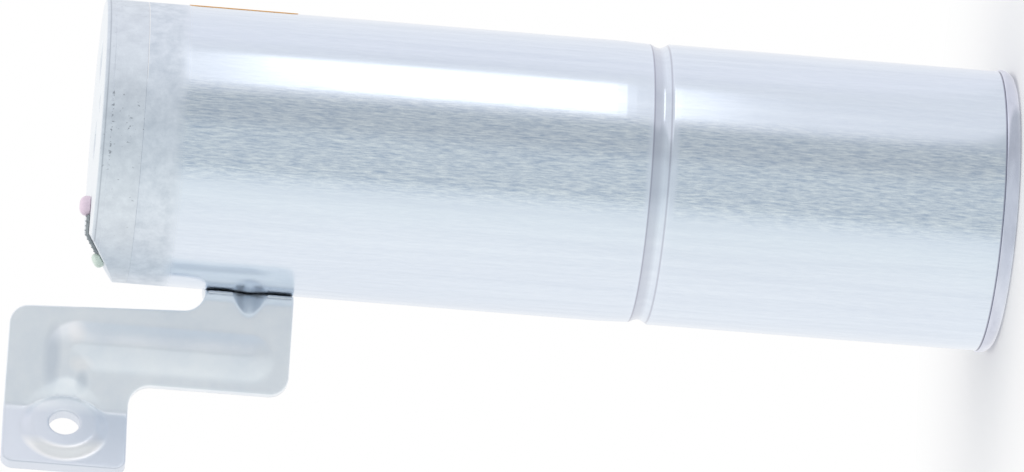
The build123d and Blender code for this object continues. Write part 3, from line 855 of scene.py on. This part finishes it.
def sheared(name, outline, holes, pitch, edge_round, form, contours=()):
    """Closed sheet cut to an outline with holes.  form(points, back) gives the place of its two faces in
    millimetres.  Each sheared edge is rounded over by lowering its rings towards the sheet's middle, and
    the mesh follows the contours, which are closed lines where the form bends sharply."""
    turns = np.radians([90, 60, 30, 0])
    rings = [(edge_round * (1 - sin(t)), edge_round * (1 - cos(t))) for t in turns]
    points, edges, drops, walls = [], [], [], []
    loops = [divided(outline, pitch)] + [divided(hole, pitch) for hole in holes]
    lines = [divided(contour, pitch) for contour in contours]
    for loop in loops:
        walls.append((len(points), len(loop)))
        for gap, drop in rings:
            start, size = len(points), len(loop)
            points += inset(loop, gap)
            drops += [drop] * size
            edges += ring_of(start, size)
    for line in lines:
        edges += ring_of(len(points), len(line))
        points += line
        drops += [0.0] * len(line)
    low, high = np.min(outline, 0), np.max(outline, 0)
    rows = np.arange(low[1] + pitch, high[1], pitch * sqrt(3) / 2)
    columns = np.arange(low[0] + pitch, high[0], pitch)
    fill = np.array([(s + (i % 2) * pitch / 2, z) for i, z in enumerate(rows) for s in columns])
    fill = fill[inside(fill, loops[0])]
    for loop in loops + lines:
        clear = (edge_round if loop in loops else 0) + pitch * 0.45
        fill = fill[distance_to(fill, loop + loop[:1]) > clear]
    for hole in loops[1:]:
        fill = fill[~inside(fill, hole)]
    points += [tuple(p) for p in fill]
    flat, _, faces, origins, _, _ = delaunay_2d_cdt([Vector(p) for p in points], edges, [], 1, 1e-9)
    flat = np.array(flat)
    sources = [min(group) if group else -1 for group in origins]
    drops = np.array(drops + [0.0] * len(fill))[sources]
    new_place = {source: i for i, source in enumerate(sources)}
    centres = flat[np.array(faces)].mean(1)
    kept = np.ones(len(faces), bool)
    for hole in loops[1:]:
        kept &= ~inside(centres, hole)
    faces = [tuple(face) for face, keep in zip(faces, kept) if keep]
    front, back = form(flat, False), form(flat, True)
    through = back - front
    through /= np.linalg.norm(through, axis=1)[:, None]
    front = front + through * drops[:, None]
    back = back - through * drops[:, None]
    count = len(flat)
    sides = [(new_place[a], new_place[b]) for wall in walls for a, b in ring_of(*wall)]
    all_faces = faces + [tuple(count + i for i in reversed(face)) for face in faces]
    all_faces += [(b, a, count + a, count + b) for a, b in sides]
    return piece_of(name, [tuple(p) for p in np.vstack([front, back]) * MM], faces=all_faces)


def soft_max(a, b, softness):
    """The larger of two heights, with a rounded change from one to the other."""
    return (a + b + np.sqrt((a - b) ** 2 + softness**2)) / 2


def soft_min(a, b, softness):
    return -soft_max(-a, -b, softness)


def eased(share):
    """A share from 0 to 1, with a soft start and a soft end."""
    return share * share * (3 - 2 * share)


def arch(distance, width, rise):
    """Height of a rib at a distance from its middle line: rounded flanks that meet in a soft crest."""
    share = 2 * np.sqrt(distance**2 + rib_crest**2) / width
    return rise * (1 - (1 - rib_belly) * share - rib_belly * share**2)


hole_height = ear_high.z - hole_below_top
neck_middle = (ear_low.z + neck_top) / 2
hole_s = knots[5] + hole_from_crease - crease_setback
rib_low = ear_low.z + rib_end_above_arm + rib_width / 2
rib_s = along(rib_line_x)
rib_corners = [(rib_s, rib_low), (rib_s, hole_height), (rib_s + rib_leg, hole_height)]
rib_middle = rounded(rib_corners, [0, rib_turn, 0])
crease_point = arm_start + arm_direction * (arm_run + crease_setback)
seat_origin = np.array(crease_point + pad_direction * hole_from_crease)
pad_along, pad_out = np.array(pad_direction), np.array(pad_normal)
bend_middle = (heading_knots[1] + heading_knots[3]) / 2
dart_outward = np.array([-sin(bend_middle), cos(bend_middle)])
bend_top = bend_radius + (bend_radius - bend_round) * (1 / cos(bend_angle / 2) - 1)


def pressed_form(points, back):
    """Where the press puts each point of the blank, on the front or the back of the sheet."""
    s, z = points.T
    heading = np.interp(s, line_s, line_heading)
    normal = np.stack([-np.sin(heading), np.cos(heading)], 1)
    plan = np.stack([np.interp(s, line_s, line_x), np.interp(s, line_s, line_y)], 1)
    from_rib = distance_to(points, rib_middle)
    if back:
        lift = soft_max(arch(from_rib, rib_back_width, rib_back_depth), 0.0, rib_back_soft) - sheet
    else:
        lift = soft_max(arch(from_rib, rib_width, rib_rise), 0.0, rib_soft)
    plan = plan + normal * lift[:, None]
    # dart across the bend
    depth, half = (dart_wall, dart_wall / 2 + dart_half) if back else (0, dart_half)
    share = np.clip(1 - ((z - neck_middle) / half) ** 2, 0, 1) ** 2
    floor = bend_radius - dart_depth - depth
    valley = bend_top + 1 - (bend_top + 1 - floor) * share
    outward = (plan - np.array(bend_centre)) @ dart_outward
    pushed = soft_min(outward, valley, dart_soft) - outward
    plan = plan + dart_outward * (pushed * (s > knots[1] - dart_reach))[:, None]
    # round seat on the pad
    from_seat = plan - seat_origin
    along_pad = from_seat @ pad_along
    across = np.hypot(along_pad, z - hole_height)
    height = from_seat @ pad_out
    if back:
        level = -sheet
        wanted = np.clip((seat_back_radius + seat_rise - across) / seat_rise, 0, 1) * seat_rise - sheet
    else:
        level = 0.0
        wanted = seat_rise * eased(np.clip((seat_radius - across) / (seat_radius - seat_top_radius), 0, 1))
    # beyond the crease the arm runs softly down into the seat
    edge = np.clip((across - seat_top_radius) / (seat_radius + seat_blend - seat_top_radius), 0, 1)
    arm_level = level + (height - level) * eased(edge)
    over = np.clip((arm_level - wanted + seat_soft) / (2 * seat_soft), 0, 1)
    over = np.where(over < 1, seat_soft * over * over, arm_level - wanted)
    wanted = wanted + over * np.clip(-along_pad - hole_from_crease, 0, 1)
    share = eased(np.clip((seat_radius + seat_blend - across) / seat_blend, 0, 1))
    plan = plan + pad_out * ((wanted - height) * share)[:, None]
    return np.column_stack([plan, z])


rib_shade_and_highlights = (  # painted shade and highlights round the rib's turn: X, Z, reach along each, tone, strength
    (-46.8, 200.2, 8.5, 2.3, (0.62, 0.68, 0.76), 0.6),
    (-41.0, 195.3, 3.0, 2.4, (1.0, 1.0, 1.0), 0.8),
    (-47.7, 194.0, 2.2, 3.0, (1.0, 1.0, 1.0), 0.8),
    (-51.4, 193.6, 3.0, 1.7, (0.58, 0.64, 0.71), 0.5),
)


def sheet_finish():
    """Mill-finish sheet: rolling grain and cloudy patches, with painted shade on the pad beyond the crease, painted
    shade and highlights round the rib's turn, and a painted highlight on the seat's flank.
    """
    made, tree = new_material("sheet_finish")
    clouds = noise(tree, 0.09, detail=4.0, roughness=0.6)
    grain = noise(tree, (0.12, 0.12, 2.2))
    dents = noise(tree, 0.28)
    place = own_place(tree)
    along_x = axes_of(place)["X"]
    colour = clouded(clouds, (0.84, 0.89, 0.94), (0.95, 0.98, 1.0))
    # painted shade: the pad beyond the crease is darker, as it turns away from the light
    toned = between(past(along_x, crease_x - 1, crease_x + 1, 1.0, 0.0), colour, (0.76, 0.80, 0.87))
    # painted shade and painted highlights on the rib's flanks
    for x, z, reach_x, reach_z, tone, strength in rib_shade_and_highlights:
        middle, per_reach = (x * MM, 0, z * MM), (1 / reach_x / MM, 0, 1 / reach_z / MM)
        way = node(tree, "ShaderNodeVectorMath", {0: place, 1: middle}, operation="SUBTRACT").outputs[0]
        way = node(tree, "ShaderNodeVectorMath", {0: way, 1: per_reach}, operation="MULTIPLY").outputs[0]
        away = node(tree, "ShaderNodeVectorMath", {0: way}, operation="LENGTH").outputs["Value"]
        toned = between(spread(away, strength, 0.0, 0.35, 1.0), toned, tone)
    seat_middle = (*(seat_origin * MM), hole_height * MM)
    from_seat = node(tree, "ShaderNodeVectorMath", {0: place, 1: seat_middle}, operation="DISTANCE").outputs["Value"]
    # painted highlight: a pale crescent on the seat's flank, only on its side away from the crease
    seat_highlight = around(from_seat, (seat_radius + seat_top_radius) / 2, 1.0, 2.0)
    lower = past(along_x, *(seat_origin[0] - side for side in seat_highlight_side), 1.0, 0.0)
    return shaded(
        made,
        Metallic=0.8,
        Base_Color=between(maths("MULTIPLY", seat_highlight, lower), toned, (1.0, 1.0, 1.0)),
        Roughness=spread(clouds, 0.34, 0.27),
        Normal=relief(dents, 0.04, relief(grain, 0.004)),
    )


def circle(radius, steps):
    """Points round a circle, downwards from its right side."""
    return [(radius * cos(turn), -radius * sin(turn)) for turn in np.linspace(0, 2 * pi, steps + 1)[:-1]]


blank_corners = [
    (0, ear_low.z),
    (along(arm_outer_x), ear_low.z),
    (along(arm_outer_x), pad_bottom),
    (knots[-1], pad_bottom),
    (knots[-1], ear_high.z),
    (along(arm_inner_top), ear_high.z),
    (along(arm_inner_root), neck_top),
    (0, neck_top),
]
blank_radii = [saddle_corner, arm_corner, pad_fillet, pad_corner, pad_corner, arm_corner, neck_fillet, saddle_corner]
blank = rounded(blank_corners, blank_radii, closed=True)
screw_hole = [(hole_s + x, hole_height + z) for x, z in circle(hole_radius, 48)]
# circles round the seat, laid back on the blank
past_bend = line_s > knots[3]
pad_x, pad_s = (np.stack([line_x, line_y], 1)[past_bend] - seat_origin) @ pad_along, line_s[past_bend]
seat_radii = (seat_radius + seat_blend, seat_radius + seat_blend / 2, seat_radius, seat_top_radius, seat_back_radius)
seat_circles = [
    [(float(np.interp(x, pad_x, pad_s)), hole_height + z) for x, z in circle(radius, 96)] for radius in seat_radii
]
bracket = sheared("ear_bracket", blank, [screw_hole], sheet_pitch, shear_round, pressed_form, seat_circles)
bracket.data.materials.append(sheet_finish())
settled(bracket, radians(40))
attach(bracket, "drier")
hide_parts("bracket")

# ================================================================ weld bead
# Filler metal run by torch into the crevice between the bracket's bend and the can.  Bare aluminium,
# rippled as it froze, in two short runs that leave the dart free.

weld_radius = 0.4
weld_spot = Vector((-30.38, -4.86))  # where the crevice is, seen from above
weld_step = 0.25
weld_ripple, ripple_rate = 0.06, 4.1
weld_end_gap, weld_dart_gap = 0.3, 3.4  # from the neck's edges, and from the dart's middle
weld_metal = plain_metal("weld_metal", (0.74, 0.79, 0.85), (0.62, 0.67, 0.73), 0.45)
weld_runs = (
    (ear_low.z + weld_end_gap, neck_middle - weld_dart_gap),
    (neck_middle + weld_dart_gap, neck_top - weld_end_gap),
)
for run_low, run_high in weld_runs:
    heights = np.arange(run_low, run_high, weld_step)
    share = 2 * (heights - run_low) / (heights[-1] - run_low) - 1
    swell = np.sqrt(np.clip(1 - share**8, 0.04, 1)) * (1 + weld_ripple * np.sin(heights * ripple_rate))
    profile = [(0, heights[0])] + [(weld_radius * w, h) for w, h in zip(swell, heights)] + [(0, heights[-1])]
    weld = placed(turned("weld_bead", profile, weld_metal, steps=24), (*weld_spot, 0))
    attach(weld, "drier")

# ================================================================ label
# Thin coated film stuck on the side away from the ear, with rounded corners.  Orange, with a pale
# blank panel inside a thin border.

label_low, label_high = (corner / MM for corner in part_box("label"))
label_thickness = label_high.x - can_radius
label_start, label_wrap = radians(-4.0), radians(62.0)
label_corner = 1.6
label_border = 2.0
label_panel = (9.0, 24.0)


def film_form(points, back):
    """Wraps the film's flat points round the can."""
    s, z = points.T
    radius = can_radius + (0.0 if back else label_thickness)
    turn = label_start + s / can_radius
    return np.column_stack([radius * np.cos(turn), radius * np.sin(turn), z])


film_width, film_height = can_radius * label_wrap, label_high.z - label_low.z


def film_finish():
    """Orange film with a paler blank panel, set out by the angle round the can and the height."""
    made, tree = new_material("film_finish")
    x, y, z = axes_of(own_place(tree))
    arc = spread(maths("ARCTAN2", y, x), 0.0, film_width, label_start, label_start + label_wrap)
    height = past(z, label_low.z, label_high.z, 0.0, film_height)
    limits = ((arc, *label_panel), (height, label_border, film_height - label_border))
    panel = maths(
        "MULTIPLY",
        *(maths("MULTIPLY", maths("GREATER_THAN", at, low), maths("LESS_THAN", at, high)) for at, low, high in limits),
    )
    fibres = noise(tree, 0.8)
    orange = clouded(fibres, (0.86, 0.42, 0.10), (0.92, 0.51, 0.16))
    colour = between(panel, orange, (0.93, 0.78, 0.56))
    return shaded(made, Base_Color=colour, Roughness=0.38, Normal=relief(fibres, 0.006))


label_corners = [(0, label_low.z), (film_width, label_low.z), (film_width, label_high.z), (0, label_high.z)]
label_outline = rounded(label_corners, [label_corner] * 4, closed=True)
label = sheared("label_film", label_outline, [], 0.7, 0.04, film_form)
label.data.materials.append(film_finish())
settled(label, radians(40))
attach(label, "drier")
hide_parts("label")

# ================================================================ studio
# Plain white floor and soft room light.  Metal sees a room that is white almost all round, with a
# greyer stretch in front of the object and a bright strip lamp beside it.


room_tones = (  # degrees from the front (-Y) towards the ear (-X), and the colour that metal sees there
    (-180, (0.97, 0.97, 0.98)),
    (-105, (0.92, 0.92, 0.96)),
    (-88, (0.84, 0.85, 0.88)),
    (-52, (0.84, 0.85, 0.88)),
    (-46, (0.60, 0.63, 0.66)),
    (-28, (0.58, 0.61, 0.64)),
    (-15, (0.69, 0.73, 0.76)),
    (12, (0.70, 0.74, 0.77)),
    (20, (0.84, 0.88, 0.90)),
    (36, (0.92, 0.95, 0.95)),
    (60, (0.97, 0.98, 0.98)),
    (90, (1.0, 1.0, 1.0)),
    (180, (0.97, 0.97, 0.98)),
)


def room_tone(direction):
    """Colour that metal sees in a direction."""
    x, y, _ = axes_of(direction)
    angle = maths("ARCTAN2", maths("MULTIPLY", x, -1.0), maths("MULTIPLY", y, -1.0))
    return ramp(maths("MULTIPLY", angle, 180 / pi), room_tones, -180, 180)


world = bpy.data.worlds.new("room")
bpy.context.scene.world = world
world.use_nodes = True
world.node_tree.nodes.clear()
tree = world.node_tree
rays = node(tree, "ShaderNodeLightPath").outputs
seen_in_metal = room_tone(node(tree, "ShaderNodeTexCoord").outputs["Generated"])
seen_directly = maths("MAXIMUM", rays["Is Camera Ray"], rays["Is Transmission Ray"])
soft = between(seen_directly, (0.80, 0.80, 0.81), (1.0, 1.0, 1.0))
colour = between(rays["Is Glossy Ray"], soft, seen_in_metal)
background = node(tree, "ShaderNodeBackground", {"Color": colour, "Strength": 1.0})
node(tree, "ShaderNodeOutputWorld", {"Surface": background.outputs["Background"]})

floor_size = 4.0
floor_fade = (0.045, 0.13)  # metres from the object over which the floor turns to plain white
floor = piece_of(
    "floor",
    [(x * floor_size, y * floor_size, 0.0) for x, y in ((-1, -1), (1, -1), (1, 1), (-1, 1))],
    faces=[(0, 1, 2, 3)],
)
floor_paint, tree = new_material("floor_paint")
paint = between(noise(tree, 0.01, detail=2.0), (0.93, 0.93, 0.93), (0.96, 0.96, 0.96))
flat_paint = {"Base Color": paint, "Roughness": 1.0, "Specular IOR Level": 0.0}
shader = node(tree, "ShaderNodeBsdfPrincipled", flat_paint)
rays = node(tree, "ShaderNodeLightPath").outputs
place = own_place(tree)
far = node(tree, "ShaderNodeVectorMath", {0: place}, operation="LENGTH").outputs["Value"]
away = maths("MULTIPLY", rays["Is Camera Ray"], spread(far, 0.0, 1.0, *floor_fade))
glow = node(tree, "ShaderNodeEmission", {"Color": room_tone(place), "Strength": 1.0})
white = node(tree, "ShaderNodeEmission", {"Color": (1, 1, 1), "Strength": 1.0})
open_floor = node(tree, "ShaderNodeMixShader", {0: away, 1: shader.outputs["BSDF"], 2: white.outputs[0]})
mirrored = {0: rays["Is Glossy Ray"], 1: open_floor.outputs[0], 2: glow.outputs[0]}
seen = node(tree, "ShaderNodeMixShader", mirrored)
node(tree, "ShaderNodeOutputMaterial", {"Surface": seen.outputs[0]})
floor.data.materials.append(floor_paint)


def soft_lamp(name, size, spot, target, radiance, mirrored=True):
    """Area lamp whose face shines with this radiance, aimed at a point; places in metres."""
    lamp = bpy.data.lights.new(name, "AREA")
    lamp.shape = "RECTANGLE"
    lamp.size, lamp.size_y = size
    lamp.energy = radiance * pi * size[0] * size[1]
    holder = bpy.data.objects.new(name, lamp)
    holder.location = spot
    holder.rotation_euler = (Vector(target) - Vector(spot)).to_track_quat("-Z", "Y").to_euler()
    holder.visible_camera = False
    holder.visible_glossy = mirrored
    bpy.context.scene.collection.objects.link(holder)


object_middle = Vector((0, 0, face / 2 * MM))
soft_lamp("overhead", (1.6, 1.6), (0.3, -0.2, 2.0), object_middle, 1.4, mirrored=False)
strip_angle, strip_distance = radians(69.5), 0.62  # from the front, away from the ear
strip_target = Vector((0, 0, 0.0735))
strip_way = Vector((sin(strip_angle), -cos(strip_angle), 0))
soft_lamp("strip", (0.33, 0.117), strip_way * strip_distance + strip_target, strip_target, 0.8)

# ================================================================ camera
# Long lens, a little above the object, rolled so that the can lies across the frame.

view_height = radians(4.5)
view_roll = radians(4.575)
view_distance = 2.09
focal_pixels = 9800
frame_width = 1024
aim = Vector((-13.44, 0, 104.2)) * MM
view_way = Vector((0, cos(view_height), -sin(view_height)))
level_right = Vector((0, -sin(view_height), -cos(view_height)))
level_up = Vector((1, 0, 0))
right = level_right * cos(view_roll) + level_up * sin(view_roll)
up = level_up * cos(view_roll) - level_right * sin(view_roll)
camera = bpy.data.cameras.new("camera")
camera.sensor_width = 36
camera.lens = focal_pixels * camera.sensor_width / frame_width
camera.clip_end = 50
viewer = bpy.data.objects.new("camera", camera)
viewer.matrix_world = Matrix((right, up, -view_way)).transposed().to_4x4()
viewer.location = aim - view_way * view_distance
bpy.context.scene.collection.objects.link(viewer)
bpy.context.scene.camera = viewer
bpy.context.scene.view_settings.view_transform = "Standard"
